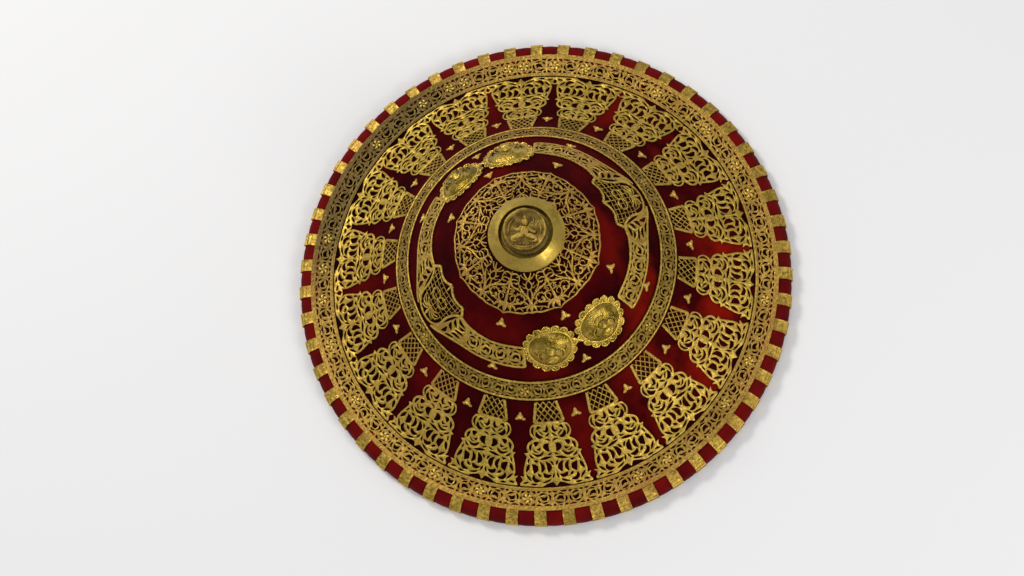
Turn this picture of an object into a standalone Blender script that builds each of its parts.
# A round parade shield of thick hide, covered with crimson velvet and mounted in gilt openwork.
# It lies boss up on the turned-down edge of its brim. Metres, +Z up, the origin on the floor
# below the middle of the boss. Heights inside the model are counted from the brim's hide.
import bpy
import bmesh
from math import asin, atan2, ceil, cos, floor, hypot, pi, radians, sin
from mathutils import Matrix, Vector

MM = 0.001

# The hide, from the crown outwards: how wide each stretch runs in plan and how far it falls
HIDE_SIDES = 36
HIDE_THICKNESS = 6.0 * MM
CROWN_RADIUS = 28.0 * MM
SHOULDER_RUN = 48.5 * MM
SHOULDER_DROP = 32.8 * MM
CONE_RUN = 66.5 * MM
CONE_DROP = 74.5 * MM
FLARE_RUN = 22.0 * MM
FLARE_DROP = 25.1 * MM
SKIRT_RUN = 25.0 * MM
SKIRT_DROP = 21.1 * MM
FOOT_RUN = 29.3 * MM
FOOT_DROP = 15.5 * MM
BRIM_RUN = 25.7 * MM
BRIM_RISE = 1.5 * MM
ROLL_RADIUS = 10.7 * MM
LIP_LENGTH = 2.0 * MM

# Cloth and metal that lie on the hide
FIT_GAP = 0.3 * MM
VELVET_THICKNESS = 1.5 * MM
BINDING_EASE = 0.9 * MM
BINDING_THICKNESS = 1.2 * MM
BINDING_TUCK = 7.5 * MM
GILT_THICKNESS = 1.1 * MM

# The outer band and the clips that hold the binding
CLIP_COUNT = 55
CLIP_WIDTH = 12.2 * MM
CLIP_FOOT = 8.2 * MM
CLIP_PHASE = radians(1.3)
CLIP_DRIFT = radians(0.85)
CLIP_DRIFT_PHASE = radians(-71.0)
CLIP_SWAY = radians(0.7)
CLIP_SWAY_PHASE = radians(101.0)

# The wedge panels between the middle band and the outer band
PANEL_COUNT = 18
PANEL_PHASE = radians(-3.6)
PANEL_DRIFT = radians(1.84)
PANEL_DRIFT_PHASE = radians(40.4)
PANEL_GAP = 1.2 * MM
PANEL_END_GAP = 0.7 * MM
# Half of a panel's outline: share of its half foot width, share of its length from the narrow end
PANEL_OUTLINE = (
    (0.295, 0.0), (0.47, 0.228), (0.44, 0.245), (0.58, 0.335), (0.455, 0.441), (0.70, 0.535),
    (0.91, 0.815), (0.87, 0.90), (1.0, 1.0), (0.56, 0.94), (0.15, 0.925), (0.0, 0.98),
)

# The middle band, the dome band, and the two lattice plates and four medallions set in it
MID_BAND_WIDTH = 16.6 * MM
DOME_BAND_GAP = 10.7 * MM
DOME_BAND_WIDTH = 17.2 * MM
STRIP_END_ROUND = 5.0 * MM
STRIP_TIP_WIDTH = 1.0 * MM
STRIP_FLARE_TURNS = (radians(15.0), radians(26.0))
STRIP_FLARE_SHARE = 0.5
LATTICE_AZIMUTHS = (radians(30.7), radians(208.8))
LATTICE_HALF_WIDTH = 28.7 * MM
LATTICE_ABOVE = 13.4 * MM
LATTICE_BELOW = 8.1 * MM
# Half of a lattice plate's outline: share of its half width, share of its height from the apex
LATTICE_OUTLINE = (
    (0.0, 0.0), (0.25, 0.14), (0.84, 0.15), (1.0, 0.28), (0.74, 0.5), (0.74, 0.8), (0.42, 0.95),
    (0.0, 1.0),
)
MEDALLION_PAIR_AZIMUTHS = (radians(120.0), radians(298.3))
MEDALLION_RADIUS = 27.6 * MM
MEDALLION_LOBES = 16
MEDALLION_NOTCH = 2.4 * MM
MEDALLION_FLANGE = 7.0 * MM
MEDALLION_RISE = 8.5 * MM
MEDALLION_HOLLOW = 4.0 * MM

# The rosette, its collar and the knob
ROSETTE_POINTS = 8
ROSETTE_PHASE = radians(28.0)
ROSETTE_POINT_LENGTH = 4.0 * MM
ROSETTE_HALF_POINT_LENGTH = 1.6 * MM
ROSETTE_POINT_SPREAD = radians(6.0)
COLLAR_WIDTH = 10.9 * MM
COLLAR_BORE = 26.4 * MM
COLLAR_RISE = 10.3 * MM
COLLAR_WALL = 4.0 * MM
KNOB_SIDES = 16
KNOB_FLANGE_SLACK = 3.4 * MM
KNOB_FLANGE_HEIGHT = 4.0 * MM
KNOB_NECK_RADIUS = 19.5 * MM
KNOB_CAP_RADIUS = 21.8 * MM
KNOB_CAP_HEIGHT = 6.5 * MM
KNOB_HEIGHT = 16.0 * MM
KNOB_OFFSET = 2.6 * MM

# The trefoil studs in the velvet between the panels
STUD_RADIUS = 6.2 * MM
STUD_NOTCH_RADIUS = 2.6 * MM
STUD_RISE = 2.4 * MM
STUD_SEAT = 0.5 * MM
STUD_SETBACK = 13.5 * MM

# The hide grip riveted inside the dome
GRIP_WIDTH = 24.0 * MM
GRIP_THICKNESS = 5.0 * MM
GRIP_TAB_REACH = 36.0 * MM
GRIP_TAB_LENGTH = 22.0 * MM
GRIP_BEND_RUN = 14.0 * MM
GRIP_BEND_DROP = 5.0 * MM
GRIP_SAG = 8.0 * MM
GRIP_FLAT = 40.0 * MM
GRIP_SEAT = 0.9 * MM
RIVET_RADIUS = 4.2 * MM
RIVET_RISE = 2.2 * MM
RIVET_SIDES = 8
RIVET_SPACING = 9.6 * MM

FACET = 2 * pi / HIDE_SIDES
LOWER_GILT = VELVET_THICKNESS + 2 * FIT_GAP
UPPER_GILT = LOWER_GILT + GILT_THICKNESS
LOWER_BAND = BINDING_EASE + BINDING_THICKNESS + FIT_GAP
UPPER_BAND = LOWER_BAND + GILT_THICKNESS
BRIM_ABOVE_FLOOR = ROLL_RADIUS + LIP_LENGTH + UPPER_BAND
SHOULDER_RADIUS = CROWN_RADIUS + SHOULDER_RUN
WAIST_RADIUS = SHOULDER_RADIUS + CONE_RUN
BRIM_RADIUS = WAIST_RADIUS + FLARE_RUN + SKIRT_RUN + FOOT_RUN
EDGE_RADIUS = BRIM_RADIUS + BRIM_RUN
DOME_BAND_OUTER = WAIST_RADIUS - FIT_GAP - MID_BAND_WIDTH - DOME_BAND_GAP
DOME_BAND_INNER = DOME_BAND_OUTER - DOME_BAND_WIDTH
DOME_BAND_MIDDLE = (DOME_BAND_INNER + DOME_BAND_OUTER) / 2
COLLAR_RADIUS = COLLAR_BORE + COLLAR_WIDTH
MERGE = 0.000001
BAND_CREASE = 40.0
DOME_CREASE = 35.0
PLATE_CREASE = 20.0


def clear_scene():
    for item in list(bpy.data.objects):
        bpy.data.objects.remove(item, do_unlink=True)


def material(name, colour, roughness, metallic=0.0):
    made = bpy.data.materials.new(name)
    made.use_nodes = True
    shader = made.node_tree.nodes["Principled BSDF"]
    shader.inputs["Base Color"].default_value = (*colour, 1.0)
    shader.inputs["Roughness"].default_value = roughness
    shader.inputs["Metallic"].default_value = metallic
    return made


def finish(name, bm, look, smooth_below=30.0):
    """Turn a bmesh into a named object under the shield's empty."""
    bmesh.ops.recalc_face_normals(bm, faces=bm.faces[:])
    mesh = bpy.data.meshes.new(name)
    bm.to_mesh(mesh)
    bm.free()
    mesh.shade_smooth()
    mesh.set_sharp_from_angle(angle=radians(smooth_below))
    mesh.materials.append(look)
    made = bpy.data.objects.new(name, mesh)
    bpy.context.collection.objects.link(made)
    made.parent = bpy.data.objects["shield_frame"]
    return made


def hide_rings():
    """The hide's outer face as rings of radius and height above the brim, crown to edge."""
    stretches = (
        (SHOULDER_RUN, SHOULDER_DROP), (CONE_RUN, CONE_DROP), (FLARE_RUN, FLARE_DROP),
        (SKIRT_RUN, SKIRT_DROP), (FOOT_RUN, FOOT_DROP), (BRIM_RUN, -BRIM_RISE),
    )
    radius = CROWN_RADIUS
    height = sum(drop for _, drop in stretches)
    rings = [(radius, height)]
    for run, drop in stretches:
        radius += run
        height -= drop
        rings.append((radius, height))
    return rings


def layer_rings(offset):
    """The rings of a surface that lies a given distance off the hide, with the same plan."""
    rings = hide_rings()
    slants = [0.0] + [(b[1] - a[1]) / (b[0] - a[0]) for a, b in zip(rings, rings[1:])] + [0.0]
    raised = []
    for (radius, height), before, after in zip(rings, slants, slants[1:]):
        slant = max(abs(before), abs(after))
        raised.append((radius, height + offset * hypot(1.0, slant)))
    return raised


def ring_height(rings, radius):
    """The height of a layer above the brim at a radius, along the facets' corners."""
    if radius <= rings[0][0]:
        return rings[0][1]
    for (r0, z0), (r1, z1) in zip(rings, rings[1:]):
        if radius <= r1 or (r1, z1) == rings[-1]:
            return z0 + (z1 - z0) * (radius - r0) / (r1 - r0)
    return rings[-1][1]


def on_layer(x, y, offset):
    """The point of a layer's faceted surface above a plan point."""
    middle = round(atan2(y, x) / FACET) * FACET
    corner_radius = (x * cos(middle) + y * sin(middle)) / cos(FACET / 2)
    return Vector((x, y, ring_height(layer_rings(offset), corner_radius)))


def polar(radius, azimuth):
    return radius * cos(azimuth), radius * sin(azimuth)


def facet_corners(start, end):
    """The azimuths of the hide's facet corners that lie between two azimuths."""
    first = ceil((start - FACET / 2) / FACET + 0.001)
    last = floor((end - FACET / 2) / FACET - 0.001)
    return [(k + 0.5) * FACET for k in range(first, last + 1)]


def arc(radius, start, end):
    """Plan points along a ring, with a corner where the hide has one."""
    return [polar(radius, a) for a in [start, *facet_corners(start, end), end]]


def cut_along_facets(bm):
    """Split a flat plan shape where the hide's facets meet, so that it can follow them."""
    for k in range(HIDE_SIDES):
        corner = (k + 0.5) * FACET
        bmesh.ops.bisect_plane(
            bm, geom=bm.verts[:] + bm.edges[:] + bm.faces[:], dist=MERGE,
            plane_co=(0, 0, 0), plane_no=(-sin(corner), cos(corner), 0))
    for radius, _ in hide_rings()[:-1]:
        for k in range(HIDE_SIDES):
            across = Vector((cos(k * FACET), sin(k * FACET), 0))
            faces = []
            for face in bm.faces:
                centre = face.calc_center_median()
                if round(atan2(centre.y, centre.x) / FACET) % HIDE_SIDES == k:
                    faces.append(face)
            verts = {v for face in faces for v in face.verts}
            edges = {e for face in faces for e in face.edges}
            if faces:
                bmesh.ops.bisect_plane(
                    bm, geom=list(verts) + list(edges) + faces, dist=MERGE,
                    plane_co=across * radius * cos(FACET / 2), plane_no=across)


def raise_plate(bm, lower, upper):
    """Give a flat plan shape its thickness between two layers over the hide."""
    bmesh.ops.dissolve_limit(
        bm, angle_limit=radians(0.05), verts=bm.verts[:], edges=bm.edges[:], delimit=set())
    cut_along_facets(bm)
    flat = bm.faces[:]
    twins = {v: bm.verts.new(v.co) for v in bm.verts[:]}
    rim = [e for e in bm.edges if len(e.link_faces) == 1]
    for face in flat:
        bm.faces.new([twins[v] for v in reversed(face.verts)])
    for edge in rim:
        a, b = edge.verts
        bm.faces.new((a, b, twins[b], twins[a]))
    for low, high in twins.items():
        low.co = on_layer(low.co.x, low.co.y, lower)
        high.co = on_layer(high.co.x, high.co.y, upper)


def make_plate(name, outline, look):
    """A gilt plate of any plan outline that lies on the velvet."""
    bm = bmesh.new()
    bm.faces.new([bm.verts.new((x, y, 0)) for x, y in outline])
    raise_plate(bm, LOWER_GILT, UPPER_GILT)
    return finish(name, bm, look, PLATE_CREASE)


def make_turned(name, section, sides, look, closed, phase=0.5):
    """A solid turned about the axis from a section of radius and height."""
    bm = bmesh.new()
    start = phase * 2 * pi / sides
    verts = [bm.verts.new((r * cos(start), r * sin(start), z)) for r, z in section]
    pairs = list(zip(verts, verts[1:]))
    if closed:
        pairs.append((verts[-1], verts[0]))
    edges = [bm.edges.new(pair) for pair in pairs]
    bmesh.ops.spin(
        bm, geom=verts + edges, cent=(0, 0, 0), axis=(0, 0, 1), angle=2 * pi, steps=sides,
        use_merge=True, use_duplicate=False)
    bmesh.ops.remove_doubles(bm, verts=bm.verts[:], dist=MERGE)
    return finish(name, bm, look)


def roll_point(offset):
    """The half-way corner of the rolled edge, for a layer at this distance off the hide."""
    reach = (ROLL_RADIUS + offset) * sin(pi / 4)
    return EDGE_RADIUS + reach, reach - ROLL_RADIUS


def foot_point(offset):
    """The outer lower corner of the rolled edge, for a layer at this distance off the hide."""
    return EDGE_RADIUS + ROLL_RADIUS + offset, -ROLL_RADIUS - LIP_LENGTH - offset


def make_hide_shell(look):
    outer = layer_rings(0.0)
    inner = layer_rings(-HIDE_THICKNESS)
    section = [(0.0, outer[0][1]), *outer, roll_point(0.0), foot_point(0.0)]
    section.append((EDGE_RADIUS + ROLL_RADIUS - HIDE_THICKNESS, foot_point(0.0)[1]))
    section.extend(reversed(inner))
    section.append((0.0, inner[0][1]))
    return make_turned("hide_shell", section, HIDE_SIDES, look, closed=False)


def make_velvet_cover(look):
    lower = layer_rings(FIT_GAP)
    upper = layer_rings(FIT_GAP + VELVET_THICKNESS)
    end = EDGE_RADIUS - BINDING_TUCK - 3 * FIT_GAP
    section = [(0.0, upper[0][1]), *upper[:-1], (end, ring_height(upper, end))]
    section.extend([(end, ring_height(lower, end)), *reversed(lower[:-1]), (0.0, lower[0][1])])
    return make_turned("velvet_cover", section, HIDE_SIDES, look, closed=False)


def clip_azimuth(index):
    """Where a clip sits: an even pitch, with the slow wander of handwork."""
    even = 2 * pi * index / CLIP_COUNT
    drift = CLIP_DRIFT * cos(even - CLIP_DRIFT_PHASE)
    sway = CLIP_SWAY * cos(2 * (even - CLIP_SWAY_PHASE))
    return even + CLIP_PHASE + drift + sway


def gap_azimuth(index):
    """The middle of the bare stretch before a clip."""
    return (clip_azimuth(index - 1) + clip_azimuth(index)) / 2


def make_rim_binding(look):
    """Red cloth from under the outer band, over the rolled edge and under the lip."""
    inner, outer = BINDING_EASE, BINDING_EASE + BINDING_THICKNESS
    tuck = EDGE_RADIUS - BINDING_TUCK
    turned_in = EDGE_RADIUS + ROLL_RADIUS - HIDE_THICKNESS
    section = [
        (tuck, ring_height(layer_rings(outer), tuck)), (EDGE_RADIUS, outer), roll_point(outer),
        foot_point(outer), (turned_in, foot_point(outer)[1]), (turned_in, foot_point(inner)[1]),
        foot_point(inner), roll_point(inner), (EDGE_RADIUS, inner),
        (tuck, ring_height(layer_rings(inner), tuck)),
    ]
    bm = bmesh.new()
    loops = []
    for k in range(CLIP_COUNT):
        azimuth = gap_azimuth(k)
        loops.append([bm.verts.new((*polar(r, azimuth), z)) for r, z in section])
    for k, loop in enumerate(loops):
        following = loops[(k + 1) % CLIP_COUNT]
        for i in range(len(section)):
            j = (i + 1) % len(section)
            bm.faces.new((loop[i], loop[j], following[j], following[i]))
    return finish("rim_binding", bm, look, BAND_CREASE)


def clip_path(offset):
    """A clip's face from the band's edge, over the roll and under the lip."""
    foot = foot_point(offset)
    end = EDGE_RADIUS + ROLL_RADIUS + UPPER_BAND - CLIP_FOOT
    return [roll_point(offset), foot, (end, foot[1])]


def add_clip(bm, azimuth, half_angle, edge_corners):
    """Carry one clip on from the outer edge of the band."""
    sides = []
    for side, (top, bottom) in zip((-1, 1), edge_corners):
        angle = azimuth + side * half_angle
        above = [top] + [bm.verts.new((*polar(r, angle), z)) for r, z in clip_path(UPPER_BAND)]
        below = [bottom] + [bm.verts.new((*polar(r, angle), z)) for r, z in clip_path(LOWER_BAND)]
        sides.append((above, below))
    (top_a, low_a), (top_b, low_b) = sides
    for i in range(len(top_a) - 1):
        bm.faces.new((top_a[i], top_a[i + 1], top_b[i + 1], top_b[i]))
        bm.faces.new((low_a[i], low_b[i], low_b[i + 1], low_a[i + 1]))
        bm.faces.new((top_a[i], low_a[i], low_a[i + 1], top_a[i + 1]))
        bm.faces.new((top_b[i], top_b[i + 1], low_b[i + 1], low_b[i]))
    bm.faces.new((top_a[-1], low_a[-1], low_b[-1], top_b[-1]))


def make_outer_band(look):
    """The flat band on the brim, in one with the clips that spring from its edge."""
    bm = bmesh.new()
    half_angle = asin(CLIP_WIDTH / 2 / EDGE_RADIUS)
    heights = [ring_height(layer_rings(h), BRIM_RADIUS) for h in (UPPER_BAND, LOWER_BAND)]
    inner = []
    corners = []
    for k in range(CLIP_COUNT):
        x, y = polar(BRIM_RADIUS, gap_azimuth(k))
        inner.append([bm.verts.new((x, y, z)) for z in heights])
        pair = []
        for side in (-1, 1):
            x, y = polar(EDGE_RADIUS, clip_azimuth(k) + side * half_angle)
            pair.append([bm.verts.new((x, y, z)) for z in (UPPER_BAND, LOWER_BAND)])
        corners.append(pair)
    for k in range(CLIP_COUNT):
        after = (k + 1) % CLIP_COUNT
        left, right = corners[k]
        next_left = corners[after][0]
        for level in (0, 1):
            bm.faces.new((inner[k][level], left[level], right[level], inner[after][level]))
            bm.faces.new((inner[after][level], right[level], next_left[level]))
        bm.faces.new((inner[k][0], inner[after][0], inner[after][1], inner[k][1]))
        bm.faces.new((right[0], right[1], next_left[1], next_left[0]))
        add_clip(bm, clip_azimuth(k), half_angle, corners[k])
    return finish("outer_band", bm, look, BAND_CREASE)


def make_mid_band(look):
    outer = WAIST_RADIUS - FIT_GAP
    inner = outer - MID_BAND_WIDTH
    lower, upper = layer_rings(LOWER_GILT), layer_rings(UPPER_GILT)
    section = [
        (inner, ring_height(lower, inner)), (outer, ring_height(lower, outer)),
        (outer, ring_height(upper, outer)), (inner, ring_height(upper, inner)),
    ]
    return make_turned("mid_band", section, HIDE_SIDES, look, closed=True)


def panel_azimuth(index):
    """Where a panel sits: an even pitch, with the slow wander of handwork."""
    even = 2 * pi * index / PANEL_COUNT
    return even + PANEL_PHASE + PANEL_DRIFT * cos(even - PANEL_DRIFT_PHASE)


def mirrored(half):
    """A full outline from its half, whose first and last points may lie on the middle line."""
    other = [(-across, along) for across, along in reversed(half) if across > 0]
    return list(half) + other


def wedge_outline(shares, azimuth, start, length, half_width):
    """Place an outline of shares in plan, its middle line pointing away from the crown."""
    away = Vector((cos(azimuth), sin(azimuth)))
    across = Vector((-sin(azimuth), cos(azimuth)))
    points = []
    for side, along in mirrored(shares):
        radius = start + along * length
        turn = side * half_width / (start + length)
        spot = away * radius * cos(turn) + across * radius * sin(turn) if turn else away * radius
        points.append((spot.x, spot.y))
    return points


def panel_outline(azimuth):
    start = WAIST_RADIUS + PANEL_END_GAP
    length = BRIM_RADIUS - PANEL_END_GAP - start
    closest = 2 * pi / PANEL_COUNT * (1 - PANEL_DRIFT)
    half_foot = (closest * (start + length) - PANEL_GAP) / 2
    away = Vector((cos(azimuth), sin(azimuth)))
    across = Vector((-sin(azimuth), cos(azimuth)))
    points = []
    for side, along in mirrored(PANEL_OUTLINE):
        radius = start + along * length
        turn = side * half_foot / radius
        spot = (away * cos(turn) + across * sin(turn)) * radius
        points.append((spot.x, spot.y))
    return points


def make_panels(look):
    for k in range(PANEL_COUNT):
        make_plate(f"panel_{k + 1:02d}", panel_outline(panel_azimuth(k)), look)


def make_studs(look):
    """A pointed trefoil in the velvet between each two panels, one leaf towards the crown."""
    for k in range(PANEL_COUNT):
        azimuth = (panel_azimuth(k) + panel_azimuth(k + 1)) / 2
        frame = SurfaceFrame(WAIST_RADIUS + STUD_SETBACK, azimuth)
        bm = bmesh.new()
        levels = []
        for level in (LOWER_GILT + STUD_SEAT, UPPER_GILT + STUD_SEAT):
            ring = []
            for i in range(6):
                reach = STUD_NOTCH_RADIUS if i % 2 else STUD_RADIUS
                turn = -pi / 2 + i * pi / 3
                ring.append(bm.verts.new(frame.spot(reach * cos(turn), reach * sin(turn), level)))
            levels.append(ring)
        low, high = levels
        crest = bm.verts.new(frame.spot(0, 0, UPPER_GILT + STUD_SEAT + STUD_RISE))
        bm.faces.new(low)
        for i in range(6):
            j = (i + 1) % 6
            bm.faces.new((low[i], low[j], high[j], high[i]))
            bm.faces.new((high[i], high[j], crest))
        finish(f"stud_{k + 1:02d}", bm, look, PLATE_CREASE)


class SurfaceFrame:
    """Axes on the hide's outer face: across, downhill and straight off the surface."""

    def __init__(self, radius, azimuth):
        x, y = polar(radius, azimuth)
        self.centre = on_layer(x, y, 0.0)
        step = 0.001
        lower = on_layer(*polar(radius + step, azimuth), 0.0)
        upper = on_layer(*polar(radius - step, azimuth), 0.0)
        self.downhill = (lower - upper).normalized()
        self.across = Vector((-sin(azimuth), cos(azimuth), 0))
        self.off = self.across.cross(self.downhill) * -1
        if self.off.z < 0:
            self.off.negate()

    def spot(self, across, downhill, offset):
        """The point at this offset off the hide, found along the frame's own normal."""
        start = self.centre + self.across * across + self.downhill * downhill
        reach = offset
        for _ in range(6):
            point = start + self.off * reach
            miss = point.z - on_layer(point.x, point.y, offset).z
            reach -= miss * self.off.z
        return start + self.off * reach


def medallion_turns():
    """How far each medallion sits to either side of the middle of its pair."""
    return (MEDALLION_RADIUS + FIT_GAP) / DOME_BAND_MIDDLE * 1.045


def make_medallion(name, azimuth, look):
    """A domed sheet medallion with a scalloped edge, hollow behind."""
    frame = SurfaceFrame(DOME_BAND_MIDDLE - 4 * MM, azimuth)
    bm = bmesh.new()
    count = 2 * MEDALLION_LOBES
    shape = [MEDALLION_RADIUS - (MEDALLION_NOTCH if i % 2 else 0.0) for i in range(count)]

    def ring(number, radius_at, level):
        verts = []
        for i in range(number):
            turn = 2 * pi * i / number
            reach = radius_at(i)
            spot = frame.spot(reach * cos(turn), reach * sin(turn), level)
            verts.append(bm.verts.new(spot))
        return verts

    seat = LOWER_GILT + FIT_GAP
    low = ring(count, lambda i: shape[i], seat)
    high = ring(count, lambda i: shape[i], seat + GILT_THICKNESS)
    dome_foot = MEDALLION_RADIUS - MEDALLION_FLANGE
    foot = ring(count // 2, lambda i: dome_foot, seat + GILT_THICKNESS)
    shoulder = ring(count // 4, lambda i: dome_foot * 0.62, seat + MEDALLION_RISE * 0.78)
    crest = bm.verts.new(frame.spot(0, 0, seat + MEDALLION_RISE))
    hollow = bm.verts.new(frame.spot(0, 0, seat + MEDALLION_HOLLOW))
    for i in range(count):
        j = (i + 1) % count
        bm.faces.new((low[i], low[j], high[j], high[i]))
        bm.faces.new((low[j], low[i], hollow))
    for i in range(0, count, 2):
        j = (i + 2) % count
        bm.faces.new((high[i], high[i + 1], foot[i // 2]))
        bm.faces.new((high[i + 1], high[j], foot[j // 2]))
        bm.faces.new((high[i + 1], foot[j // 2], foot[i // 2]))
    for i in range(0, count // 2, 2):
        j = (i + 2) % (count // 2)
        bm.faces.new((foot[i], foot[i + 1], shoulder[i // 2]))
        bm.faces.new((foot[i + 1], foot[j], shoulder[j // 2]))
        bm.faces.new((foot[i + 1], shoulder[j // 2], shoulder[i // 2]))
    for i in range(count // 4):
        bm.faces.new((shoulder[i], shoulder[(i + 1) % (count // 4)], crest))
    return finish(name, bm, look, DOME_CREASE)


def make_medallions(look):
    number = 0
    for pair in MEDALLION_PAIR_AZIMUTHS:
        for side in (-1, 1):
            number += 1
            make_medallion(f"medallion_{number}", pair + side * medallion_turns(), look)


def lattice_half_turn(radius):
    """How far round the ring a lattice plate reaches at a radius."""
    top = DOME_BAND_INNER - LATTICE_ABOVE
    height = DOME_BAND_OUTER + LATTICE_BELOW - top
    share = (radius - top) / height
    for (side_a, at_a), (side_b, at_b) in zip(LATTICE_OUTLINE, LATTICE_OUTLINE[1:]):
        if share <= at_b:
            side = side_a + (side_b - side_a) * (share - at_a) / (at_b - at_a)
            return side * LATTICE_HALF_WIDTH / radius
    return 0.0


def make_lattice_plates(look):
    top = DOME_BAND_INNER - LATTICE_ABOVE
    height = DOME_BAND_OUTER + LATTICE_BELOW - top
    for number, azimuth in enumerate(LATTICE_AZIMUTHS, 1):
        points = []
        for side, along in mirrored(LATTICE_OUTLINE):
            radius = top + along * height
            points.append(polar(radius, azimuth + side * LATTICE_HALF_WIDTH / radius))
        make_plate(f"lattice_plate_{number}", points, look)


def strip_outline(lattice, pair, side):
    """A strip of the dome band from a lattice plate's side to a medallion's edge."""
    clear = (MEDALLION_RADIUS + 2 * FIT_GAP) / DOME_BAND_INNER
    far = pair - side * (medallion_turns() + clear)
    top = DOME_BAND_INNER - LATTICE_ABOVE
    height = DOME_BAND_OUTER + LATTICE_BELOW - top
    bends = [top + along * height for _, along in LATTICE_OUTLINE[:-1]]
    near = []
    for radius in (DOME_BAND_INNER, *[r for r in bends if r > DOME_BAND_INNER]):
        near.append((radius, lattice + side * (lattice_half_turn(radius) + 3 * FIT_GAP / radius)))
    first_turn, last_turn = STRIP_FLARE_TURNS
    tip = near[-1][0] + STRIP_TIP_WIDTH
    waist = DOME_BAND_OUTER + (tip - DOME_BAND_OUTER) * STRIP_FLARE_SHARE
    flare = [(tip, near[-1][1]), (waist, lattice + side * first_turn)]
    inner = arc_between(DOME_BAND_INNER, near[0][1], far - side * STRIP_END_ROUND / DOME_BAND_INNER)
    outer = arc_between(
        DOME_BAND_OUTER, lattice + side * last_turn, far - side * STRIP_END_ROUND / DOME_BAND_OUTER)
    end = [polar(DOME_BAND_INNER + STRIP_END_ROUND, far), polar(DOME_BAND_OUTER - STRIP_END_ROUND, far)]
    back = [polar(*spot) for spot in reversed(near[1:] + flare)]
    return inner + end + list(reversed(outer)) + back


def arc_between(radius, start, end):
    """An arc that may run either way round."""
    if start <= end:
        return arc(radius, start, end)
    return list(reversed(arc(radius, end, start)))


def make_dome_strips(look):
    """Four scrolled strips: each lattice plate has one on either side."""
    first, second = LATTICE_AZIMUTHS
    above, below = MEDALLION_PAIR_AZIMUTHS
    runs = (
        (first, below - 2 * pi, -1), (first, above, 1), (second, above, -1), (second, below, 1),
    )
    for number, (lattice, pair, side) in enumerate(runs, 1):
        make_plate(f"dome_strip_{number}", strip_outline(lattice, pair, side), look)


def rosette_points():
    """The rosette's pointed outline as azimuth and radius, once round."""
    tip = SHOULDER_RADIUS - FIT_GAP
    base = tip - ROSETTE_POINT_LENGTH
    pitch = 2 * pi / ROSETTE_POINTS
    points = []
    for k in range(ROSETTE_POINTS):
        middle = ROSETTE_PHASE + k * pitch
        points.append((middle - ROSETTE_POINT_SPREAD, base))
        points.append((middle, tip))
        points.append((middle + ROSETTE_POINT_SPREAD, base))
        points.append((middle + pitch / 2, base + ROSETTE_HALF_POINT_LENGTH))
    return points


def make_rosette(look):
    bm = bmesh.new()
    start = (COLLAR_RADIUS + 2 * FIT_GAP) / cos(FACET / 2)
    outer = [Vector((*polar(radius, azimuth), 0)) for azimuth, radius in rosette_points()]
    corners = [Vector((*polar(start, (k + 0.5) * FACET), 0)) for k in range(HIDE_SIDES)]
    outer_verts = [bm.verts.new(p) for p in outer]
    outer_edges = [bm.edges.new(pair) for pair in zip(outer_verts, outer_verts[1:] + outer_verts[:1])]
    inner_verts = [bm.verts.new(p) for p in corners]
    inner_edges = [bm.edges.new(pair) for pair in zip(inner_verts, inner_verts[1:] + inner_verts[:1])]
    bmesh.ops.triangle_fill(bm, edges=outer_edges + inner_edges, use_beauty=True, normal=(0, 0, 1))
    raise_plate(bm, LOWER_GILT, UPPER_GILT)
    return finish("rosette", bm, look, PLATE_CREASE)


def make_collar(look):
    """The plain conical ring round the knob, over the rosette's hollow middle."""
    lower = layer_rings(LOWER_GILT)
    seat = ring_height(lower, COLLAR_RADIUS)
    crest = seat + COLLAR_RISE
    inner_foot = CROWN_RADIUS + FIT_GAP
    section = [
        (inner_foot, ring_height(lower, inner_foot)), (COLLAR_RADIUS, seat),
        (COLLAR_RADIUS, seat + GILT_THICKNESS), (COLLAR_BORE, crest),
        (COLLAR_BORE, crest - COLLAR_WALL),
    ]
    return make_turned("collar", section, HIDE_SIDES, look, closed=True)


def make_knob(look):
    """The boss on the crown: a flange, a waisted neck and a broad low cap."""
    flange = COLLAR_BORE * cos(FACET / 2) - KNOB_FLANGE_SLACK
    section = [
        (0.0, 0.0), (flange, 0.0), (flange, KNOB_FLANGE_HEIGHT),
        (KNOB_NECK_RADIUS, KNOB_FLANGE_HEIGHT + MM), (KNOB_CAP_RADIUS, KNOB_HEIGHT - KNOB_CAP_HEIGHT),
        (KNOB_CAP_RADIUS, KNOB_HEIGHT - 1.6 * MM), (KNOB_CAP_RADIUS - 2.2 * MM, KNOB_HEIGHT - 0.4 * MM),
        (0.0, KNOB_HEIGHT),
    ]
    knob = make_turned("knob", section, KNOB_SIDES, look, closed=False)
    knob.location = (KNOB_OFFSET, 0, layer_rings(LOWER_GILT)[0][1])
    return knob


def grip_line():
    """The middle line of the grip in the X-Z plane, for X from the tab's end to the centre."""
    inner = layer_rings(-HIDE_THICKNESS)
    offset = (GRIP_THICKNESS / 2 + GRIP_SEAT) * hypot(1.0, CONE_DROP / CONE_RUN)
    outside = SHOULDER_RADIUS + GRIP_TAB_REACH
    top = outside - GRIP_TAB_LENGTH * CONE_RUN / hypot(CONE_RUN, CONE_DROP)
    low = ring_height(inner, outside / cos(FACET / 2)) - offset
    high = ring_height(inner, top / cos(FACET / 2)) - offset
    return [
        (outside, low), (top, high), (top - GRIP_BEND_RUN, high - GRIP_BEND_DROP),
        (GRIP_FLAT / 2, high - GRIP_BEND_DROP - GRIP_SAG),
    ]


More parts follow.
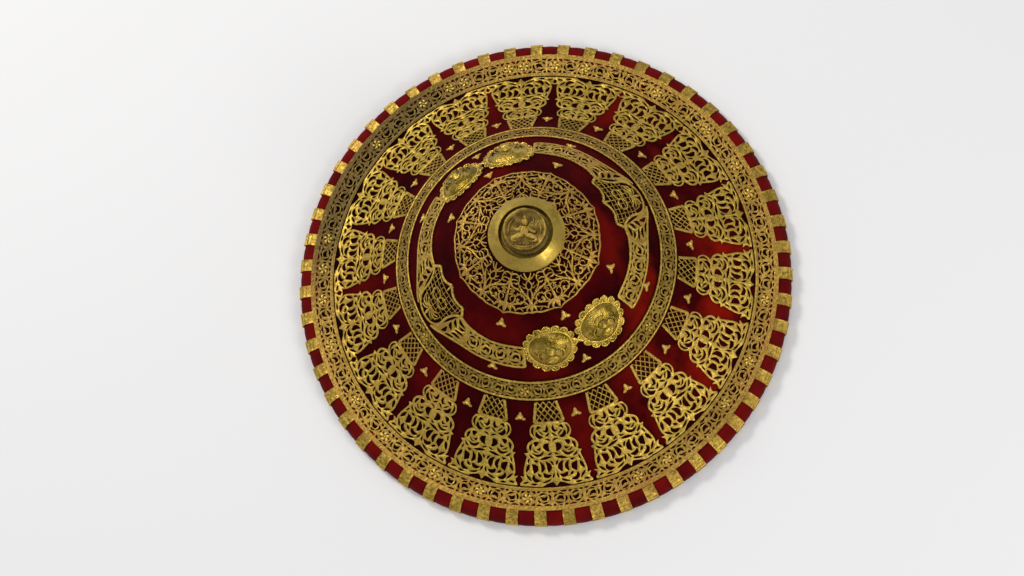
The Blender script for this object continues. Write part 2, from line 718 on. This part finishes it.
def make_grip_strap(look):
    """A thick hide strap across the hollow of the dome, its ends bent to lie on the hide."""
    half = grip_line()
    line = [Vector(p) for p in half] + [Vector((-x, z)) for x, z in reversed(half)]
    bm = bmesh.new()
    above = []
    below = []
    for i, point in enumerate(line):
        ahead = (line[min(i + 1, len(line) - 1)] - point).normalized()
        behind = (point - line[max(i - 1, 0)]).normalized()
        along = (ahead + behind).normalized()
        bend = max(along.dot(ahead), along.dot(behind))
        normal = Vector((along.y, -along.x)) * (GRIP_THICKNESS / 2 / bend)
        above.append(point + normal)
        below.append(point - normal)
    corners = above + below[::-1]
    near = [bm.verts.new((p.x, -GRIP_WIDTH / 2, p.y)) for p in corners]
    face = bm.faces.new(near)
    pushed = bmesh.ops.extrude_face_region(bm, geom=[face], use_keep_orig=True)
    moved = [item for item in pushed["geom"] if isinstance(item, bmesh.types.BMVert)]
    bmesh.ops.translate(bm, verts=moved, vec=(0, GRIP_WIDTH, 0))
    return finish("grip_strap", bm, look)


def make_grip_rivets(look):
    """Two domed rivet heads on each tab of the grip."""
    outside, top = (Vector(p) for p in grip_line()[:2])
    along = (top - outside).normalized()
    inward = Vector((-along.y, along.x))
    if inward.y > 0:
        inward.negate()
    middle = (outside + top) / 2
    number = 0
    for side in (1, -1):
        for step in (-0.5, 0.5):
            number += 1
            section = [
                (0.0, 0.0), (RIVET_RADIUS, 0.0), (RIVET_RADIUS * 0.72, RIVET_RISE * 0.75), (0.0, RIVET_RISE),
            ]
            rivet = make_turned(f"grip_rivet_{number}", section, RIVET_SIDES, look, closed=False)
            spot = middle + along * step * RIVET_SPACING + inward * (GRIP_THICKNESS / 2 + FIT_GAP)
            rivet.location = (side * spot.x, 0, spot.y)
            rivet.rotation_mode = "QUATERNION"
            facing = Vector((side * inward.x, 0, inward.y))
            rivet.rotation_quaternion = facing.to_track_quat("Z", "Y")


def build():
    clear_scene()
    frame = bpy.data.objects.new("shield_frame", None)
    bpy.context.collection.objects.link(frame)
    frame.location = (0, 0, BRIM_ABOVE_FLOOR)
    hide = material("hide", (0.16, 0.085, 0.045), 0.62)
    velvet = material("velvet", (0.13, 0.004, 0.010), 0.9)
    binding = material("binding", (0.26, 0.010, 0.008), 0.8)
    gilt = material("gilt", (0.62, 0.46, 0.12), 0.32, 1.0)
    worn = material("worn_gilt", (0.44, 0.36, 0.17), 0.45, 1.0)
    iron = material("rivet", (0.20, 0.16, 0.11), 0.5, 1.0)
    make_hide_shell(hide)
    make_velvet_cover(velvet)
    make_rim_binding(binding)
    make_outer_band(gilt)
    make_mid_band(gilt)
    make_panels(gilt)
    make_studs(gilt)
    make_dome_strips(gilt)
    make_lattice_plates(gilt)
    make_medallions(gilt)
    make_rosette(gilt)
    make_collar(gilt)
    make_knob(worn)
    make_grip_strap(hide)
    make_grip_rivets(iron)


build()
